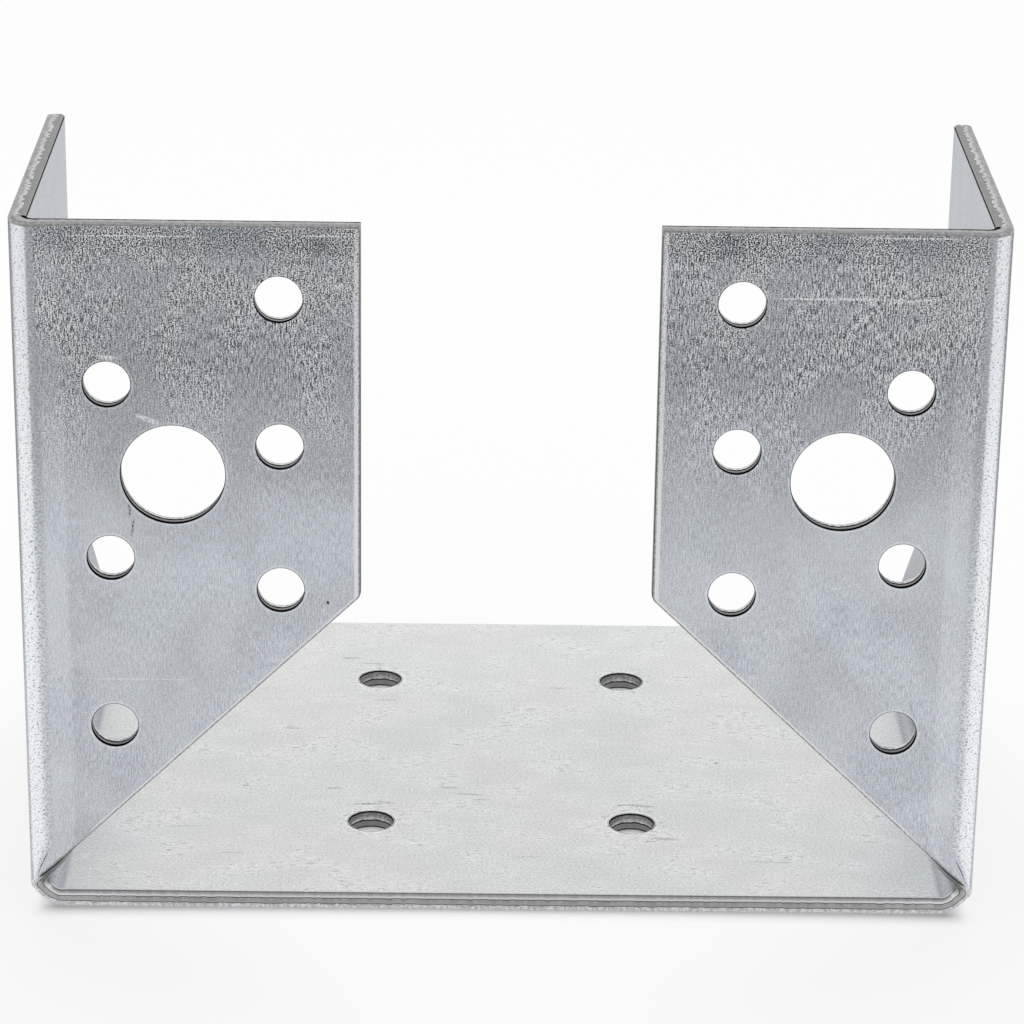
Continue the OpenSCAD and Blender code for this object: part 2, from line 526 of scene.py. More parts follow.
def fold_lines(flats, ends):
    """Constraint lines along the folds for one face of the sheet: chains of flat points, where a
    number stands for a point of the outline."""
    chains = []
    seat_start = SEAT_FRONT + 0.2
    wall_start = SEAT_FRONT - 0.4
    wall_end = SEAT_REAR - 1.2
    flange_low = S_WALL - 0.6
    for side, marks in ends.items():
        for k in range(SEAT_FOLD_STEPS):
            s = S_SEAT + SEAT_ARC * k / SEAT_FOLD_STEPS
            start = marks["front"].get(k, (side * s, seat_start))
            chains.append([start, marks["rear"][k]])
        chains.append([(side * S_WALL, wall_start), (side * S_WALL, wall_end)])
        for k in range(FLANGE_FOLD_STEPS + 1):
            v = SEAT_FRONT - FLANGE_ARC * k / FLANGE_FOLD_STEPS
            start = marks["tail"][k] if k else (side * flange_low, SEAT_FRONT)
            low = abs(flats[start][0]) if k else flange_low
            stops = [low + TAIL_STEP * i for i in TAIL_STOPS]
            chains.append([start] + [(side * q, v) for q in stops] + [marks["top"][k]])
    return chains


def inner_points(holes):
    """Extra flat points: rings round the holes, and a fine net in the tails of the flanges."""
    points = []
    for centre, diameter, steps in holes:
        for gap in RING_GAPS:
            points += round_hole(centre, diameter + 2 * gap, steps // 2)
    for i in TAIL_STOPS:
        for j in TAIL_STOPS:
            v = V_FLANGE - TAIL_STEP * i
            s = tail_edge(v) + TAIL_STEP * j
            if s < S_WALL + TAIL_LENGTH + FLANGE_FOLD_OUTER:
                points += [(s, v), (-s, v)]
    return points


def face_points(rings, flats, ends, holes):
    """Flat points of one face, the vertex of the sheet that each one is or None, and the edges
    to keep. The first ring is the outline's and the others are the holes'."""
    points, owners, edges = [], [], []
    for ring, flat in zip(rings, flats):
        base = len(points)
        points += flat
        owners += ring
        edges += [(base + i, base + (i + 1) % len(flat)) for i in range(len(flat))]
    for chain in fold_lines(flats[0], ends):
        numbers = []
        for stop in chain:
            if isinstance(stop, int):
                numbers.append(stop)
            else:
                numbers.append(len(points))
                points.append(stop)
        edges += list(zip(numbers, numbers[1:]))
    points += inner_points(holes)
    owners += [None] * (len(points) - len(owners))
    return points, owners, edges


def fill_face(sheet, depth, rings, flats, ends, holes):
    """Triangulates one face of the sheet between its edge strips."""
    points, owners, edges = face_points(rings, flats, ends, holes)
    found = delaunay_2d_cdt([Vector(p) for p in points], edges, [], 0, SAME_POINT)
    verts, _, faces, origins = found[:4]
    numbers = []
    for flat, origin in zip(verts, origins):
        known = [owners[i] for i in origin if owners[i] is not None]
        if known:
            numbers.append(known[0])
            continue
        inner = directions(flat.x, flat.y, depth)[2]
        normal = inner if depth == 0 else -inner
        numbers.append(sheet.add(flat.x, flat.y, depth, normal, depth / SHEET_T))
    for face in faces:
        middle = tuple(sum(verts[i][a] for i in face) / len(face) for a in (0, 1))
        near = [f for (c, d, _), f in zip(holes, flats[1:]) if dist(c, middle) < d]
        if inside(middle, flats[0]) and not any(inside(middle, flat) for flat in near):
            uvs = [(verts[i].x, verts[i].y) for i in face]
            sheet.face([numbers[i] for i in face], uvs, PLAIN_FACE)


def flange_share(s, v):
    """1 on the flange and its fold, 0 on the seat, the walls and the corner under the tail."""
    if s < CORNER_TOP:
        return smooth_step(V_FLANGE + CORNER_END - v, *CORNER_MASK)
    return smooth_step(SEAT_FRONT - v, *FLANGE_MASK)


def tail_share(s, v):
    """1 at the tail of the flange's lower edge, where its cut face shows and takes the painted
    shadow of the gap under the tail, and 0 elsewhere.
    """
    if s > S_WALL + TAIL_LENGTH:
        return 0.0
    return flange_share(s, v) * smooth_step(v, *TAIL_MASK)


def fold_narrowing(s, v):
    """How far the painted highlight strip of the front fold has closed in towards the corner, 0 to
    1.
    """
    if v > SEAT_FRONT:
        return 0.0
    return 1 - smooth_step(s - tail_edge(v), *NARROW_MASK)


def rim_distance(flat, holes):
    """Distance of a flat point from the nearest hole's rim."""
    return min(abs(dist(flat, c) - d / 2) for c, d, _ in holes)


def build_mesh():
    """The whole sheet as one closed mesh with exact normals and the material's attributes."""
    sheet = Sheet()
    outline, ends = whole_outline()
    holes = hole_list()
    strips = [edge_strip(sheet, outline, blank_profile(), BLANK_EDGE)]
    strips += [edge_strip(sheet, round_hole(*hole), hole_profile(), HOLE_EDGE) for hole in holes]
    inner_rings, outer_rings, inner_flats, outer_flats = zip(*strips)
    fill_face(sheet, 0.0, inner_rings, inner_flats, ends, holes)
    fill_face(sheet, SHEET_T, outer_rings, outer_flats, ends, holes)

    mesh = bpy.data.meshes.new("hanger_sheet")
    mesh.from_pydata(sheet.places, [], sheet.faces)
    add_face_data(mesh, sheet, holes)
    work = bmesh.new()
    work.from_mesh(mesh)
    loose = [v for v in work.verts if not v.link_faces]
    bmesh.ops.delete(work, geom=loose, context="VERTS")
    bmesh.ops.recalc_face_normals(work, faces=work.faces)
    work.to_mesh(mesh)
    work.free()
    mesh.shade_smooth()
    stored = mesh.attributes["sheet_normal"].data
    mesh.normals_split_custom_set_from_vertices([tuple(item.vector) for item in stored])
    mesh.attributes.remove(mesh.attributes["sheet_normal"])
    return mesh


def add_face_data(mesh, sheet, holes):
    """Writes the flat coordinates and the masks that the material reads."""
    layer = mesh.uv_layers.new(name="flat")
    for item, uv in zip(layer.uv, sheet.corner_maps):
        item.vector = uv
    edge = mesh.attributes.new("edge", "FLOAT", "FACE")
    edge.data.foreach_set("value", sheet.face_edge)
    masks = {
        "across": sheet.across,
        "rim": [rim_distance(flat, holes) for flat in sheet.flats],
        "narrow": [fold_narrowing(abs(s), v) for s, v in sheet.flats],
        "front": [flange_share(abs(s), v) for s, v in sheet.flats],
        "tail": [tail_share(abs(s), v) for s, v in sheet.flats],
    }
    for name, values in masks.items():
        mask = mesh.attributes.new(name, "FLOAT", "POINT")
        mask.data.foreach_set("value", values)
    normal = mesh.attributes.new("sheet_normal", "FLOAT_VECTOR", "POINT")
    normal.data.foreach_set("vector", [x for n in sheet.normals for x in n])


class Nodes:
    """Short ways to build the node tree of a material or a world."""

    def __init__(self, owner):
        owner.use_nodes = True
        self.tree = owner.node_tree
        self.tree.nodes.clear()

    def make(self, kind, inputs=None, **settings):
        node = self.tree.nodes.new("ShaderNode" + kind)
        for name, value in settings.items():
            setattr(node, name, value)
        for name, value in (inputs or {}).items():
            if isinstance(value, bpy.types.NodeSocket):
                self.tree.links.new(value, node.inputs[name])
            else:
                node.inputs[name].default_value = value
        return node

    def math(self, operation, a, b=0.0, clamp=False):
        node = self.make("Math", {0: a, 1: b}, operation=operation, use_clamp=clamp)
        return node.outputs[0]

    def chain(self, operation, values):
        found = values[0]
        for value in values[1:]:
            found = self.math(operation, found, value)
        return found

    def product(self, *values):
        return self.chain("MULTIPLY", values)

    def total(self, *values):
        return self.chain("ADD", values)

    def less(self, a, b):
        """a minus b."""
        return self.math("SUBTRACT", a, b)

    def ramp(self, value, low, high, to_low=0.0, to_high=1.0):
        """Smooth step from to_low to to_high while value goes from low to high."""
        inputs = dict(enumerate((value, low, high, to_low, to_high)))
        return self.make("MapRange", inputs, interpolation_type="SMOOTHSTEP").outputs["Result"]

    def between(self, value, rise, fall):
        """1 between two borders, each as (outside, inside), and 0 beyond them."""
        return self.product(self.ramp(value, *rise), self.ramp(value, *fall))

    def signed(self, noise, gain):
        """A noise spread to the range from minus gain to gain."""
        return self.ramp(noise, 0.32, 0.68, -gain, gain)

    def blend(self, share, a, b):
        """Numbers a and b mixed by share."""
        inputs = {0: share, 2: a, 3: b}
        return self.make("Mix", inputs, data_type="FLOAT").outputs[0]

    def mix(self, share, a, b):
        """Colours a and b mixed by share."""
        inputs = {0: share, 6: a, 7: b}
        return self.make("Mix", inputs, data_type="RGBA").outputs[2]

    def scaled(self, colour, share):
        inputs = {0: colour, "Scale": share}
        node = self.make("VectorMath", inputs, operation="SCALE")
        return node.outputs["Vector"]

    def noise(self, vector, scale, detail=2.0, rough=0.65, distortion=0.0):
        inputs = {"Vector": vector, "Scale": scale, "Detail": detail, "Roughness": rough,
                  "Distortion": distortion}
        return self.make("TexNoise", inputs).outputs["Fac"]

    def attribute(self, name):
        return self.make("Attribute", attribute_name=name).outputs["Fac"]

    def parts(self, vector):
        """X, Y and Z of a vector."""
        return self.make("SeparateXYZ", {"Vector": vector}).outputs

    def place(self, kind):
        """X, Y and Z of the shaded point in one kind of texture coordinates."""
        return self.parts(self.make("TexCoord").outputs[kind])

    def either(self, share, first, second):
        """Two shaders mixed by share."""
        return self.make("MixShader", {0: share, 1: first, 2: second}).outputs[0]


# Marks on the front of the flanges: (x, height, half length, half width, lean, strength),
# in millimetres and degrees from upright. A negative strength is dark.
FLANGE_MARKS = (
    (-39, 78.7, 8.6, 0.11, 90, 0.8), (-19.1, 78.9, 3.6, 0.11, 90, 0.8),
    (41, 79.4, 7.4, 0.11, 90, 0.8), (20.3, 79.6, 0.75, 0.16, 0, 1),
    (-20.5, 77.8, 5.4, 1.3, 88, -0.2), (22.8, 78.4, 6.8, 1.5, 91, -0.22),
    (31, 72.7, 16, 0.1, 90.3, 0.35), (34.5, 72.8, 7.5, 0.14, 89.7, 0.45),
    (39.4, 74.6, 0.9, 0.1, 52, 0.9), (40.1, 73.9, 1.2, 0.1, 38, 0.9),
    (40.7, 73.1, 1, 0.09, 60, 0.8), (41.6, 72.6, 3.4, 0.13, 84, 0.5),
    (-41.8, 65.5, 1.5, 0.28, 88, 0.45), (-37.6, 58.6, 2, 0.34, 68, 0.4),
    (-34.4, 57.7, 2.2, 0.28, 80, 0.35), (-39.9, 48.6, 1.1, 0.16, 6, -0.5),
    (-39.6, 46.4, 1.3, 0.14, -9, -0.5), (-40.2, 28.95, 7.4, 0.1, 90, 0.16),
    (-19, 38.1, 0.24, 0.22, 0, -0.9), (-16.8, 69.4, 1.6, 0.1, 62, 0.45),
    (24.8, 66.5, 1.4, 0.09, 40, 0.3), (-27, 33.5, 2.6, 0.08, 30, 0.2),
    (36, 40.5, 2.2, 0.08, 75, 0.2), (28.2, 51, 1.8, 0.09, 20, -0.2),
    (-45.2, 38, 1.9, 0.08, 12, 0.2), (44, 26, 1.6, 0.09, -20, -0.2),
    # The next two are painted shade along the crease at the foot of each front fold
    (-49.15, 6.6, 1.9, 0.13, 0, -0.6), (49.15, 6.6, 1.9, 0.13, 0, -0.6),
)

# Marks on the top of the seat: (x, distance behind the flange's face, half length, half width,
# lean, strength), where lean 0 runs across the beam
SEAT_MARKS = (
    (-15.6, 25.5, 2.3, 0.3, 3, -0.55), (-13.4, 25.9, 1.4, 0.2, -12, -0.5),
    (14.2, 25.8, 1.6, 0.22, 8, -0.4), (16.4, 25.6, 1.9, 0.26, -9, -0.55),
    (-18.8, 67.4, 1.5, 0.34, 4, -0.4), (-16.2, 65.8, 2.2, 0.26, -3, -0.35),
    (-14.3, 54.7, 2, 0.26, 2, -0.35), (-25.2, 46.2, 1.7, 0.24, 0, -0.45),
    (-4.9, 41.9, 0.9, 0.22, 0, -0.5), (-6.1, 30, 1.7, 0.24, 4, -0.4),
    (-3.6, 28.3, 2.4, 0.26, -5, -0.4), (-2.4, 26.9, 1.3, 0.2, 2, -0.4),
    (-19.6, 29.6, 1.2, 0.24, 0, -0.45), (18.7, 17.1, 1.9, 0.4, -6, -0.45),
    (17, 16.4, 1.2, 0.25, 8, -0.35), (25.6, 37.5, 0.3, 0.26, 0, -0.9),
    (-36.5, 19.2, 2.6, 0.2, 2, -0.3), (30.4, 11.5, 3, 0.22, -2, -0.3),
    (7.4, 58.8, 2.4, 0.22, 0, -0.3), (22.8, 62.5, 1.8, 0.24, 3, -0.3),
    (-30.5, 12.6, 2.2, 0.2, 0, -0.3), (2.8, 12.2, 2.8, 0.18, 1, -0.25),
    (9.3, 46.4, 1.6, 0.2, -3, 0.35), (-9.8, 15.4, 2, 0.18, 2, 0.3),
)

# Gain on the strength of the marks on the flanges
MARK_GAIN = 1.5

# Heights over the underside between which the tones and the relief change, as (from, to). The
# flange's tone by height, darker towards the top, is partly the coat's own zinc and partly painted
# reflection shade, and the painted shade along the fold's highlight fades with height too.
COAT_AND_PAINTED_SHADE_HEIGHTS = (32.0, 72.0)
MIDDLE = (47.0, 62.0)
UPPER = (58.0, 71.0)
TOP = (75.5, 78.5)
LOW = (15.0, 8.0)
DIM_BAND = ((59.0, 65.0), (72.0, 66.0))
CLEAR_BAND = ((36.0, 43.0), (54.0, 47.0))
PAINTED_BORDER_SHADE = (35.0, 62.0)
ROUGHER = (46.0, 74.0)

# Borders in the flat blank, as (from, to)
FLANGE_BORDER = (SEAT_FRONT, SEAT_FRONT - 0.5)
SEAT_BORDER = (S_SEAT + 0.3, S_SEAT - 0.3)
BEND = ((S_SEAT - 0.4, S_SEAT + 0.5), (S_WALL + 0.8, S_WALL - 0.4))
FOLD_START = (V_FLANGE - 0.35, V_FLANGE + 0.45)
FOLD_END = (SEAT_FRONT + 0.3, SEAT_FRONT - 0.4)
# Borders of the fold's painted highlight, and of the painted shade on its outer strip
HIGHLIGHT_BAND_START = (V_FLANGE + 0.4, V_FLANGE + 0.8)
HIGHLIGHT_BAND_END = (SEAT_FRONT - 0.9, SEAT_FRONT - 1.3)
HIGHLIGHT_BAND_BORDER = (V_FLANGE + 0.78, V_FLANGE + 0.62)
OUTSIDE = (SEAT_FRONT - 1.3, SEAT_FRONT - 0.8)
BESIDE_FOLD = ((V_FLANGE - 2.9, V_FLANGE - 2.0), (V_FLANGE + 0.3, V_FLANGE - 0.2))
OFF_TAIL = (V_FLANGE - PINCH_REACH, V_FLANGE - PINCH_REACH - 2.0)
# Painted reflection light grows across these, towards the rear
SEAT_PAINTED_REAR_LIGHT = (SEAT_MIDDLE, SEAT_REAR - 5.0)
# How far the painted highlight's two sides move in where the fold narrows
NARROW_INSIDE = 0.25
NARROW_OUTSIDE = 0.95

# Distances from an edge or a hole's rim, as (from, to). The first three place painted highlights
# along the flange's edges and round the holes.
INNER_EDGE_GLINT = (0.80, 0.55)
SLOPE_EDGE_GLINT = (0.48, 0.40)
RIM_LIGHT = (0.34, 0.24)
SEAT_RIM_LINE = (0.38, 0.26)
SEAT_RIM_HALO = ((0.70, 0.50), (0.30, 0.40))
SEAT_RIM_DIRT = (2.6, 0.9)

# Grey tones across a sheared edge, as (share of the way from the side that was struck, tone). They
# hold the roll, burnish and break of the cut, with painted shade in the near-black lines and
# inside the holes, and painted highlights along the rounded corners of the seat's and flanges'
# edges.
EDGE_BANDS_AND_PAINTED_SHADE = {
    "seat": ((0, 0.8), (0.02, 0.78), (0.035, 0.3), (0.055, 0.36), (0.08, 0.72), (0.2, 0.66),
        (0.31, 0.84), (0.335, 0.1), (0.365, 0.1), (0.39, 0.38), (0.65, 0.42), (0.675, 0.1),
        (0.695, 0.1), (0.725, 0.76), (0.96, 0.82), (1, 0.92)),
    "flange": ((0, 0.3), (0.08, 0.1), (0.2, 0.12), (0.28, 0.38), (0.8, 0.44), (0.87, 0.44),
        (0.885, 0.14), (0.93, 0.16), (0.95, 0.62), (1, 0.85)),
    "flange_top": ((0, 0.02), (0.32, 0.02), (0.37, 0.38), (0.84, 0.46), (1, 0.62)),
    # The tail's near-black lines are the painted shadow of the gap under the flange's tail
    "tail": ((0, 0.04), (0.12, 0.04), (0.22, 0.26), (0.82, 0.32), (0.87, 0.04), (0.93, 0.04),
        (0.955, 0.4), (1, 0.55)),
    "wall_top": ((0, 0.26), (0.012, 0.04), (0.04, 0.04), (0.06, 0.26), (0.44, 0.2), (0.49, 0.8),
        (0.56, 0.5), (0.93, 0.55), (1, 0.8)),
    "hole": ((0, 0.01), (0.2, 0.01), (0.25, 0.2), (0.42, 0.22), (0.46, 0.01), (0.62, 0.01),
        (0.67, 0.85), (1, 0.9)),
    "seat_hole": ((0, 0.03), (0.07, 0.03), (0.11, 0.2), (0.38, 0.22), (0.41, 0.03), (0.47, 0.03),
        (0.51, 0.62), (0.88, 0.55), (0.92, 0.03), (1, 0.03)),
}

# Tints of the walls and flanges and of the seat, each drifting between two, and the limits
SIDES_COOL = (0.708, 0.744, 0.790, 1)
SIDES_BLUE = (0.708, 0.739, 0.804, 1)
SEAT_COOL = (0.715, 0.735, 0.732, 1)
SEAT_WARM = (0.728, 0.738, 0.726, 1)
DARKEST = 0.06
LIGHTEST = (0.97, 0.97, 0.98)
# Roughness of the faces, of the folds and of the torn part of a cut edge
FACE_ROUGH = 0.31
FOLD_ROUGH = 0.29
BREAK_ROUGH = 0.55


class ZincSheet:
    """Nodes of the galvanised sheet: rolled grain, mottling, marks, folds, and sheared edges, with
    painted highlights and painted shade in its tones.
    """

    def __init__(self, n):
        self.n = n
        self.flat = n.make("UVMap", uv_map="flat").outputs["UV"]
        flat_parts = n.parts(self.flat)
        self.side = n.math("ABSOLUTE", flat_parts["X"])
        self.depth = flat_parts["Y"]
        self.height = n.product(n.place("Object")["Z"], 1 / MM)
        self.across = n.attribute("across")
        self.rim = n.attribute("rim")
        self.front_edge = n.attribute("front")
        edge = n.attribute("edge")
        self.cut = n.math("MINIMUM", edge, BLANK_EDGE)
        self.punched = n.math("SUBTRACT", edge, BLANK_EDGE, clamp=True)
        self.outer = n.product(self.across, n.less(1.0, self.cut))
        inner = n.less(1.0, self.outer)
        self.flange = n.ramp(self.depth, *FLANGE_BORDER)
        self.seat = n.ramp(self.side, *SEAT_BORDER)
        self.seat_top = n.product(self.seat, inner)
        # Where painted shade goes: the seat's concave bend up into each wall
        self.painted_bend_shade = n.product(n.between(self.side, *BEND), inner)
        # Darker towards the top: partly the coat's own zinc and partly painted reflection shade
        self.fall = n.ramp(self.height, *COAT_AND_PAINTED_SHADE_HEIGHTS, 0.97, 0.66)
        self.add_fold_masks()
        self.add_noises()

    def add_fold_masks(self):
        """Masks of the front fold and of its painted highlight and shade. Towards the corner the
        painted highlight strip closes in on both sides.
        """
        n = self.n
        narrow = n.attribute("narrow")
        closed = n.less(self.depth, n.product(narrow, NARROW_INSIDE))
        opened = n.total(self.depth, n.product(narrow, NARROW_OUTSIDE))
        self.fold = n.product(n.ramp(closed, *FOLD_START), n.ramp(self.depth, *FOLD_END))
        self.painted_highlight_band = n.product(n.ramp(closed, *HIGHLIGHT_BAND_START), n.ramp(opened, *HIGHLIGHT_BAND_END))
        self.fold_outside = n.ramp(opened, *OUTSIDE)
        self.fold_border_shade = n.ramp(closed, *HIGHLIGHT_BAND_BORDER)
        self.beside_fold = n.between(self.depth, *BESIDE_FOLD)

    def add_noises(self):
        """Noises in the flat blank, fine ones first."""
        n = self.n
        self.speck = n.noise(self.flat, 6.8, 2.0, 0.6)
        self.grit = n.noise(self.flat, 4.4, 3.0, 0.7, 0.3)
        self.upright = self.stretched(1.1, 7.6, 2.0, 0.65, 0.3)
        self.grain = self.stretched(0.16, 4.4)
        self.blotch = self.stretched(0.11, 0.16, 1.0, 0.55, 0.5)
        self.patch = n.noise(self.flat, 0.05, 1.0, 0.5)
        self.tooth = self.stretched(1.3, 0.35, 2.0, 0.7)
        self.break_rough = self.stretched(2.6, 1.6, 2.0, 0.7)

    def stretched(self, along_s, along_v, *settings):
        """A noise with its own scale along s and along v."""
        inputs = {"Vector": self.flat, "Scale": (along_s, along_v, 1.0)}
        return self.n.noise(self.n.make("Mapping", inputs).outputs[0], 1.0, *settings)

    def painted_edge_glint(self):
        """Mask of the painted highlight: 1 along the flange's inner edge, and a little less along
        its lower edge.
        """
        n = self.n
        from_inner = n.less(self.depth, V_INNER)
        drop = n.less(n.total(self.side, n.product(self.depth, SLOPE)),
                      S_WALL + (FLANGE_FOLD_OUTER + V_FLANGE) * SLOPE)
        from_slope = n.product(drop, cos(FLANGE_SLOPE))
        lower = n.product(n.ramp(from_slope, *SLOPE_EDGE_GLINT), n.ramp(self.depth, *OFF_TAIL, 0.0, 0.8))
        return n.math("MAXIMUM", n.ramp(from_inner, *INNER_EDGE_GLINT), lower)

    def flange_tone(self):
        """Tone of the flange: mottled near its top, smooth and lighter further down. The darkening
        towards the top is partly the coat's own zinc and partly painted reflection shade, and so
        are the stronger specks near the top.
        """
        n = self.n
        middle = n.ramp(self.height, *MIDDLE)
        upper = n.ramp(self.height, *UPPER)
        top = n.ramp(self.height, *TOP)
        contrast = n.total(n.blend(middle, 0.15, 0.48), n.blend(upper, 0.0, 0.52),
                           n.blend(top, 0.0, 0.75))
        uneven = n.ramp(self.blotch, 0.40, 0.60, 0.55, 1.2)
        lively = n.product(contrast, n.blend(middle, 1.0, uneven))
        specks = n.product(n.ramp(self.speck, 0.37, 0.63, -1.0, 1.0), lively)
        streaky = n.ramp(self.patch, 0.45, 0.55, 0.75, 1.15)
        uprights = n.product(n.signed(self.upright, 1.0), lively, streaky, n.blend(top, 1.0, 0.35))
        shade = n.ramp(self.blotch, 0.35, 0.65, -0.05, 0.05)
        dim = n.product(n.between(self.height, *DIM_BAND), -0.08)
        clear = n.product(n.between(self.height, *CLEAR_BAND), 0.08)
        low = n.ramp(self.height, *LOW, 0.0, -0.12)
        # Tone by height: partly the coat's own zinc and partly painted reflection shade
        base = n.total(n.blend(top, n.blend(upper, 1.0, 1.05), 0.80), shade, dim, clear, low)
        plain = n.total(base, specks, uprights, n.ramp(self.beside_fold, 0.0, 1.0, 0.0, 0.12))
        # Painted highlight along the flange's inner and lower edges, on the outer face
        painted_edge_glint = n.product(self.painted_edge_glint(), self.outer, n.ramp(self.speck, 0.35, 0.60, 0.45, 1.00))
        rolled = n.signed(self.grain, 0.022)
        # The darkening towards the top, partly painted reflection shade, covers all but the
        # painted edge highlight
        return n.total(n.product(n.total(plain, rolled), self.fall), painted_edge_glint)

    def fold_tone(self):
        """Tone of the folds between wall and flange: a painted highlight, bright across the fold,
        with painted shade on its outer strip and along its inner border near the top, and dark
        specks.
        """
        n = self.n
        dark = n.ramp(self.grit, n.blend(self.painted_highlight_band, 0.54, 0.44), n.blend(self.painted_highlight_band, 0.44, 0.39))
        deep = n.blend(self.painted_highlight_band, n.blend(self.fold_outside, 0.5, 0.75), 0.85)
        # Painted highlight over the fold, and painted shade on its outer strip
        light = n.total(n.blend(self.fold_outside, 1.28, 0.68), n.signed(self.speck, 0.24))
        # Painted shade along the highlight's inner border, strongest near the top
        dulled = n.ramp(self.height, *PAINTED_BORDER_SHADE, 0.92, 0.62)
        light = n.product(light, n.blend(self.fold_border_shade, 1.0, dulled))
        return n.blend(n.product(dark, deep), light, 0.34)

    def seat_tone(self):
        """Tone of the seat and the walls: cloudy, with fine brushing across the beam, and painted
        reflection light towards the rear.
        """
        n = self.n
        clouds = n.signed(self.blotch, 0.04)
        brushed = n.signed(self.grain, 0.035)
        fine = n.signed(self.stretched(3.4, 5.0, 2.0, 0.6), 0.17)
        dashes = self.stretched(0.95, 4.0, 2.0, 0.7, 0.5)
        clusters = n.ramp(self.blotch, 0.48, 0.64)
        where = n.math("MAXIMUM", clusters, n.ramp(self.rim, *SEAT_RIM_DIRT))
        dark = n.product(n.ramp(dashes, 0.575, 0.635), where, -0.42)
        light = n.product(n.ramp(dashes, 0.42, 0.36), where, 0.16)
        outline = n.product(n.ramp(self.rim, *SEAT_RIM_LINE), -0.75)
        halo = n.product(n.between(self.rim, *SEAT_RIM_HALO), 0.12)
        # Painted reflection light, lighter towards the rear
        rear = n.ramp(self.depth, *SEAT_PAINTED_REAR_LIGHT, 0.0, 0.06)
        return n.total(1.06, clouds, brushed, fine, dark, light, outline, halo, rear)

    def mark(self, centre, half_sizes, lean, strength):
        """A thin mark that tapers to both ends. Lean 0 lies along s."""
        inputs = {"Vector": self.flat, "Location": (*centre, 0.0),
                  "Rotation": (0.0, 0.0, radians(lean)), "Scale": (*half_sizes, 1.0)}
        place_in_mark = self.n.make("Mapping", inputs, vector_type="TEXTURE").outputs[0]
        spread = self.n.make("TexGradient", {"Vector": place_in_mark},
                             gradient_type="SPHERICAL")
        return self.n.ramp(spread.outputs["Fac"], 0.0, 0.5, 0.0, strength)

    def marks(self):
        """All scratches and spots, with the painted crease shade at the foot of the front folds,
        as an addition to the tone.
        """
        n = self.n
        light, dark = [], []
        for x, z, *sizes, lean, strength in FLANGE_MARKS:
            side = -1.0 if x < 0 else 1.0
            s, v = flange_point(abs(x), z)
            shape = self.mark((side * s, v), sizes, lean * side, strength * MARK_GAIN)
            (dark if strength < 0 else light).append(shape)
        seat = [self.mark((x, y), sizes, lean, share) for x, y, *sizes, lean, share in SEAT_MARKS]
        flange = n.product(n.total(n.product(n.total(*dark), self.fall), *light),
                           self.outer, self.flange)
        broken_up = n.ramp(self.grit, 0.40, 0.60, 0.1, 1.4)
        return n.product(n.total(flange, n.product(n.total(*seat), self.seat_top)), broken_up)

    def face_colour(self):
        """Colour of the rolled faces."""
        n = self.n
        tone = n.blend(self.flange, self.seat_tone(), self.flange_tone())
        # The front fold takes its painted highlight and shade
        tone = n.blend(self.fold, tone, self.fold_tone())
        # Painted shade in the concave bend between the seat and the walls, speckled by grit
        tone = n.blend(self.painted_bend_shade, tone, n.total(0.58, n.signed(self.grit, 0.26)))
        # Painted highlight round the holes on the outer face
        painted_rim_highlight = n.product(n.ramp(self.rim, *RIM_LIGHT), self.outer, 0.55)
        tone = n.total(n.total(tone, self.marks()), painted_rim_highlight)
        tone = n.math("MAXIMUM", tone, DARKEST)
        warm = n.ramp(self.patch, 0.42, 0.58)
        sides = n.mix(warm, SIDES_COOL, SIDES_BLUE)
        ground = n.mix(warm, SEAT_COOL, SEAT_WARM)
        colour = n.scaled(n.mix(self.seat, sides, ground), tone)
        inputs = {0: colour, 1: LIGHTEST}
        return n.make("VectorMath", inputs, operation="MINIMUM").outputs["Vector"]

    def bands(self, place_across, stops):
        """Grey tone across an edge, from (place, tone) stops."""
        node = self.n.make("ValToRGB", {"Fac": place_across})
        elements = node.color_ramp.elements
        while len(elements) < len(stops):
            elements.new(1.0)
        for element, (place_value, tone) in zip(elements, stops):
            element.position = place_value
            element.color = (tone, tone, tone * 1.02, 1.0)
        return node.outputs["Color"]

    def edge_colour(self):
        """Colour across the sheared edges: coated roll, burnish and bright break, with painted
        shade in their dark lines and inside the holes, and painted highlights on their rounded
        corners.
        """
        n = self.n
        at_top = n.ramp(self.height, WALL_HEIGHT - 1.0, WALL_HEIGHT - 0.5)
        wall_top = n.product(at_top, n.less(1.0, self.front_edge))
        wander = n.product(n.ramp(self.tooth, 0.3, 0.7, -1.0, 1.0), n.blend(wall_top, 0.035, 0.15))
        middle_part = (n.ramp(self.across, 0.2, 0.4), n.ramp(self.across, 0.88, 0.70))
        border = n.total(self.across, n.product(wander, *middle_part))
        tone = {name: self.bands(border, stops) for name, stops in EDGE_BANDS_AND_PAINTED_SHADE.items()}
        sheared = n.mix(self.front_edge, tone["seat"],
                        n.mix(at_top, tone["flange"], tone["flange_top"]))
        # At the tail, the edge carries the painted shadow of the gap under it
        sheared = n.mix(n.attribute("tail"), sheared, tone["tail"])
        sheared = n.mix(wall_top, sheared, tone["wall_top"])
        in_seat = n.ramp(self.height, SHEET_T + 1.0, SHEET_T + 0.2)
        bored = n.mix(in_seat, tone["hole"], tone["seat_hole"])
        self.broken = n.ramp(border, 0.64, 0.72)
        speckled = n.blend(self.broken, n.total(1.0, n.signed(self.tooth, 0.10)),
                           n.total(0.93, n.signed(self.break_rough, 0.22)))
        return n.scaled(n.mix(self.punched, sheared, bored), speckled)

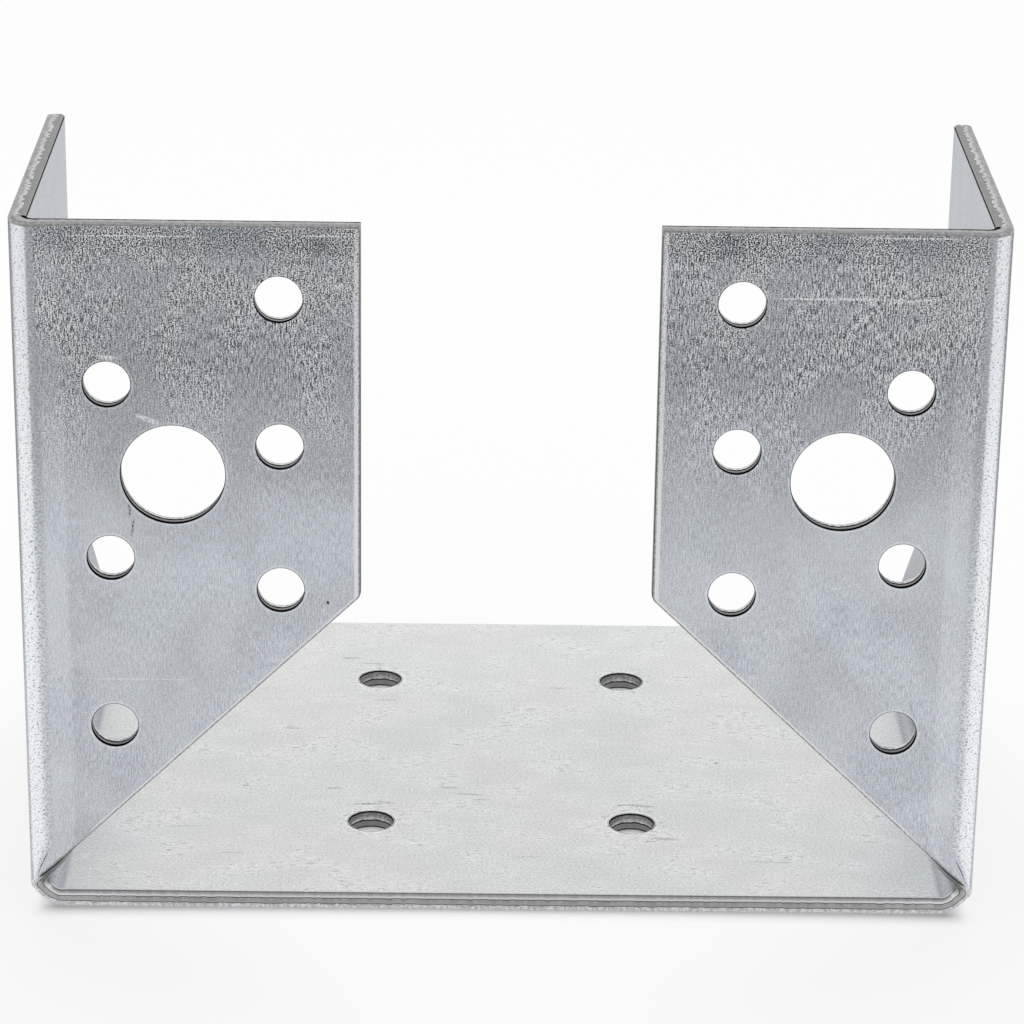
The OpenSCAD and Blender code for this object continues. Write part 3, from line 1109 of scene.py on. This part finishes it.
    def relief(self):
        """Fine height of the surface in millimetres."""
        n = self.n
        lively = n.total(0.35, n.product(n.ramp(self.height, *ROUGHER), self.flange, 0.65),
                         n.product(self.fold, 0.5))
        faces = n.product(n.signed(self.speck, 0.008), lively)
        breaks = n.product(n.signed(self.break_rough, 0.03), self.broken)
        return n.blend(self.cut, faces, breaks)


def zinc_material():
    """Galvanised sheet with its rolled grain, mottling, marks, and sheared edges, and with painted
    highlights and painted shade in its colour.
    """
    material = bpy.data.materials.new("zinc_sheet")
    n = Nodes(material)
    zinc = ZincSheet(n)
    edges = zinc.edge_colour()
    colour = n.mix(zinc.cut, zinc.face_colour(), edges)
    # The painted shade in the dark lines of the edges is kept from shining at a flat angle, so it
    # stays dark
    shade_lines_shine = n.blend(zinc.cut, 1.0, n.ramp(edges, 0.02, 0.16, 0.2, 1.0))
    rough = n.total(n.blend(zinc.fold, FACE_ROUGH, FOLD_ROUGH), n.signed(zinc.speck, 0.02))
    rough = n.blend(n.product(zinc.cut, zinc.broken), rough, BREAK_ROUGH)
    bump = n.make("Bump", {"Strength": 1.0, "Distance": MM, "Height": zinc.relief()})
    inputs = {"Base Color": colour, "Roughness": rough, "Normal": bump.outputs[0],
              "Specular Tint": shade_lines_shine, "Metallic": 1.0}
    shader = n.make("BsdfPrincipled", inputs)
    n.make("OutputMaterial", {"Surface": shader.outputs[0]})
    return material


def add_object(name, data):
    """A new object in the scene."""
    made = bpy.data.objects.new(name, data)
    bpy.context.scene.collection.objects.link(made)
    return made


def build_hanger():
    """The folded sheet, standing for the CAD solid."""
    piece = add_object("hanger_sheet", build_mesh())
    piece.data.materials.append(zinc_material())
    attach(piece, "root")
    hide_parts("hanger")


# Camera, from the outlines and hole rims of the photograph
IMAGE_SIZE = 1024
SENSOR = 36.0
FOCAL_PX = 3845.3
CAMERA_PLACE = Vector((-3.47, -417.01, 197.95)) * MM
CAMERA_YAW = 0.01042
CAMERA_PITCH = -0.37644
CAMERA_ROLL = -0.01490


def build_camera():
    """The scene's camera at the photograph's viewpoint."""
    data = bpy.data.cameras.new("photo_camera")
    data.sensor_width = SENSOR
    data.lens = FOCAL_PX / IMAGE_SIZE * SENSOR
    data.clip_start = 0.01
    data.clip_end = 20.0
    camera = add_object("photo_camera", data)
    camera.location = CAMERA_PLACE
    camera.rotation_mode = "QUATERNION"
    turn = Matrix.Rotation(-CAMERA_YAW, 3, "Z")
    tilt = Matrix.Rotation(pi / 2 + CAMERA_PITCH, 3, "X")
    roll = Matrix.Rotation(-CAMERA_ROLL, 3, "Z")
    camera.rotation_quaternion = (turn @ tilt @ roll).to_quaternion()
    bpy.context.scene.camera = camera


# Floor. Angles round the object's middle go from 0 in front to pi behind, as (from, to).
FLOOR_REACH = 6.0
FLOOR_COLOUR = (0.86, 0.86, 0.87, 1)
UNDER_MARGIN = 3.0
BESIDE_ANGLES = ((0.70, 1.0), (2.05, 1.75))
BEHIND_ANGLE = (1.2, 1.8)
STRAIGHT_BEHIND_ANGLE = (2.5, 2.95)
MIRRORED_FRONT = 0.745
MIRRORED_BEHIND = 0.50
MIRRORED_STRAIGHT_BEHIND = 0.72
MIRRORED_UNDER = 0.80
# Share of plain white in what the camera sees, around the object and under it
WHITE_AROUND = 0.72
WHITE_UNDER = 0.03


def floor_material():
    """Pale floor that the camera sees nearly white, with the object's soft shadow on it. In
    reflections it is white beside the object and duller in front, behind and under it."""
    material = bpy.data.materials.new("floor")
    n = Nodes(material)
    parts = n.place("Object")
    side = n.math("ABSOLUTE", parts["X"])
    under_x = n.ramp(side, HALF_WIDTH * MM, (HALF_WIDTH - UNDER_MARGIN) * MM)
    under_y = n.ramp(n.math("ABSOLUTE", parts["Y"]), SEAT_REAR / 2 * MM,
                     (SEAT_REAR / 2 - UNDER_MARGIN) * MM)
    under = n.product(under_x, under_y)
    angle = n.math("ARCTAN2", side, n.product(parts["Y"], -1.0))
    behind = n.blend(n.ramp(angle, *STRAIGHT_BEHIND_ANGLE), MIRRORED_BEHIND,
                     MIRRORED_STRAIGHT_BEHIND)
    other = n.blend(n.ramp(angle, *BEHIND_ANGLE), MIRRORED_FRONT, behind)
    strength = n.blend(n.between(angle, *BESIDE_ANGLES), other, 1.0)
    strength = n.blend(under, strength, MIRRORED_UNDER)

    path = n.make("LightPath").outputs
    shaded = n.make("BsdfDiffuse", {"Color": FLOOR_COLOUR}).outputs[0]
    white = n.make("Emission").outputs[0]
    seen = n.either(n.blend(under, WHITE_AROUND, WHITE_UNDER), shaded, white)
    mirrored = n.make("Emission", {"Strength": strength}).outputs[0]
    lit = n.either(path["Is Glossy Ray"], shaded, mirrored)
    both = n.either(path["Is Camera Ray"], lit, seen)
    n.make("OutputMaterial", {"Surface": both})
    return material


def build_floor():
    """A wide plain floor under the object."""
    mesh = bpy.data.meshes.new("floor")
    half = FLOOR_REACH
    mesh.from_pydata([(-half, -half, 0), (half, -half, 0), (half, half, 0), (-half, half, 0)],
                     [], [(0, 1, 2, 3)])
    mesh.materials.append(floor_material())
    add_object("floor", mesh)


# Surroundings as reflections see them, by the direction's Y and Z, and as other light
DULL_TO_BRIGHT_Y = (-0.5, 0.3)
BEHIND_CAMERA = 0.45
LOW_TO_HIGH_Z = (0.33, 0.55)
SOFT_LIGHT = 0.55


def build_world():
    """Soft studio surroundings, white to the camera. Reflections see them bright behind the
    object, duller behind the camera and a little duller overhead."""
    world = bpy.data.worlds.new("studio")
    n = Nodes(world)
    parts = n.place("Generated")
    mirrored = n.product(n.blend(n.ramp(parts["Y"], *DULL_TO_BRIGHT_Y), BEHIND_CAMERA, 1.0),
                         n.ramp(parts["Z"], *LOW_TO_HIGH_Z, 0.98, 0.80))
    path = n.make("LightPath").outputs
    around = n.blend(path["Is Glossy Ray"], SOFT_LIGHT, mirrored)
    strength = n.blend(path["Is Camera Ray"], around, 1.0)
    shader = n.make("Background", {"Color": (1, 1, 1, 1), "Strength": strength})
    n.make("OutputWorld", {"Surface": shader.outputs[0]})
    bpy.context.scene.world = world


# The one lamp, square and soft, over the object and a little behind it
LAMP_PLACE = Vector((0.0, 0.15, 0.9))
LAMP_SIZE = 0.9
LAMP_POWER = 6.0


def build_light():
    """A soft lamp that points at the object and isn't seen in reflections."""
    data = bpy.data.lights.new("top_light", "AREA")
    data.shape = "SQUARE"
    data.size = LAMP_SIZE
    data.energy = LAMP_POWER
    lamp = add_object("top_light", data)
    lamp.visible_glossy = False
    lamp.location = LAMP_PLACE
    lamp.rotation_mode = "QUATERNION"
    lamp.rotation_quaternion = (-LAMP_PLACE).to_track_quat("-Z", "Y")


build_hanger()
build_floor()
build_world()
build_light()
build_camera()
bpy.context.scene.view_settings.view_transform = "Standard"
